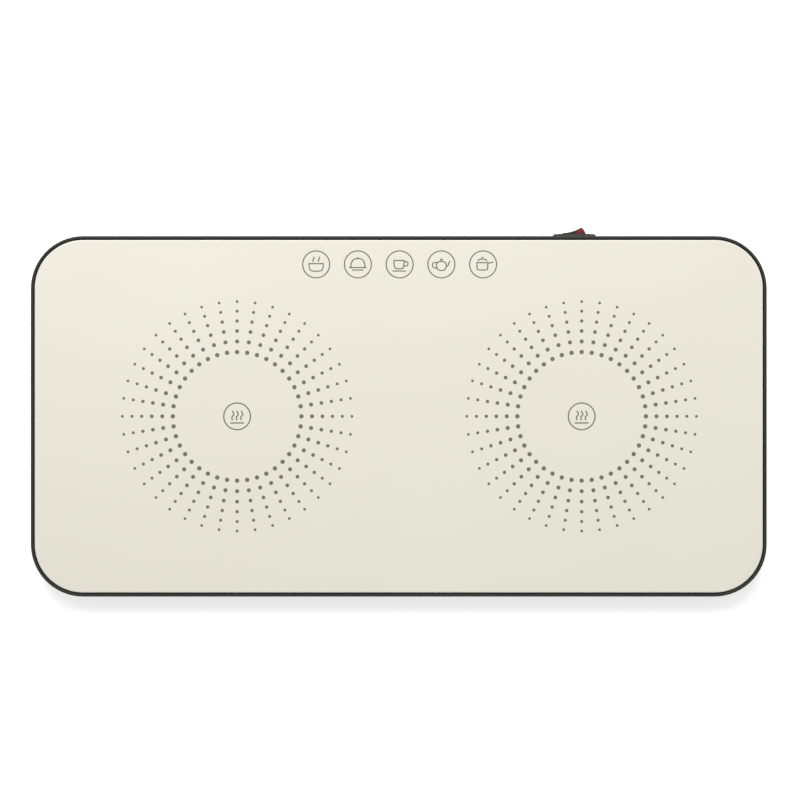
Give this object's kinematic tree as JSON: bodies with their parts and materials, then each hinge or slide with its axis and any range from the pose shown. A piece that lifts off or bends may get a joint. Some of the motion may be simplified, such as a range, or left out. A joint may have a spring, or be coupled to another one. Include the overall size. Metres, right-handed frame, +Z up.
{
  "type": "electric food warmer tray",
  "caption": "Flat rectangular warming tray: glass top in a moulded frame, two round heated zones, rocker switch and power inlet at the back edge.",
  "frame": {"origin": "on the table, under the middle of the tray (rim centre)", "axes": "+X to the right as seen from the front, +Y to the back where the switch is, +Z up"},
  "size_m": [0.6, 0.3016, 0.0274],
  "materials": {
    "frame_plastic": "satin moulded charcoal",
    "base_plastic": "fine spark texture",
    "top_glass": "glossy tempered glass, cream coated from below",
    "seal_silicone": "dull silicone",
    "foot_rubber": "dull",
    "plated_steel": "zinc plated",
    "spreader_aluminium": "mill finish",
    "heater_sheath": "silicone sheath",
    "backing_foil": "soft foil",
    "insulation_fibre": "pressed fibre",
    "thermostat_resin": "moulded resin",
    "fuse_case": "lacquered",
    "clip_steel": "stamped",
    "tinned_copper": "tinned",
    "splice_nylon": "natural nylon",
    "wire_brown": "insulation",
    "wire_blue": "insulation",
    "wire_white": "insulation",
    "inlet_plastic": "moulded",
    "nickel_brass": "nickel plated",
    "switch_plastic": "moulded",
    "rocker_plastic": "dark red, translucent",
    "plunger_plastic": "acetal",
    "spring_steel": "bright wire",
    "contact_brass": "stamped",
    "lamp_glass": "small lamp"
  },
  "bodies": {
    "tray": {"frame": "frame_plastic", "base_plate": "base_plastic", "glass_plate": "top_glass", "glass_seal": "seal_silicone", "base_screws": "plated_steel", "spreader_nuts": "plated_steel", "crimp_sleeves": "tinned_copper", "inlet_body": "inlet_plastic", "inlet_pin_live": "nickel_brass", "inlet_pin_neutral": "nickel_brass", "switch_body": "switch_plastic", "switch_terminal_common": "contact_brass", "switch_terminal_load": "contact_brass", "switch_terminal_lamp": "contact_brass", "switch_lamp": "lamp_glass", "splice_neutral": "splice_nylon", "splice_live": "splice_nylon", "foot_middle": "foot_rubber", "foot_back_left": "foot_rubber", "foot_back_right": "foot_rubber", "foot_front_left": "foot_rubber", "foot_front_right": "foot_rubber", "heat_spreader_left": "spreader_aluminium", "heating_wire_left": "heater_sheath", "foil_backing_left": "backing_foil", "insulation_pad_left": "insulation_fibre", "thermostat_left": "thermostat_resin", "thermal_fuse_left": "fuse_case", "fuse_clip_left": "clip_steel", "wire_live_left": "wire_brown", "wire_link_left": "wire_white", "wire_neutral_left": "wire_blue", "heat_spreader_right": "spreader_aluminium", "heating_wire_right": "heater_sheath", "foil_backing_right": "backing_foil", "insulation_pad_right": "insulation_fibre", "thermostat_right": "thermostat_resin", "thermal_fuse_right": "fuse_case", "fuse_clip_right": "clip_steel", "wire_live_right": "wire_brown", "wire_link_right": "wire_white", "wire_neutral_right": "wire_blue", "wire_live_in": "wire_brown", "wire_neutral_in": "wire_blue", "wire_lamp_neutral": "wire_blue", "wire_switched": "wire_brown"},
    "rocker": {"switch_rocker": "rocker_plastic", "switch_plunger": "plunger_plastic", "switch_spring": "spring_steel"},
    "lever": {"switch_lever": "contact_brass"}
  },
  "joints": [
    {"name": "rocker_tilt", "type": "hinge", "parent": "tray", "child": "rocker", "pos_m": [0.1435, 0.1467, 0.0133], "axis": [0, 0, 1], "range_deg": [-34, 0]},
    {"name": "lever_tilt", "type": "hinge", "parent": "tray", "child": "lever", "pos_m": [0.1435, 0.13652, 0.0133], "axis": [0, 0, 1], "range_deg": [0, 17]}
  ],
  "couplings": [
    {"joint": "lever_tilt", "follows": "rocker_tilt", "ratio": -0.5}
  ]
}
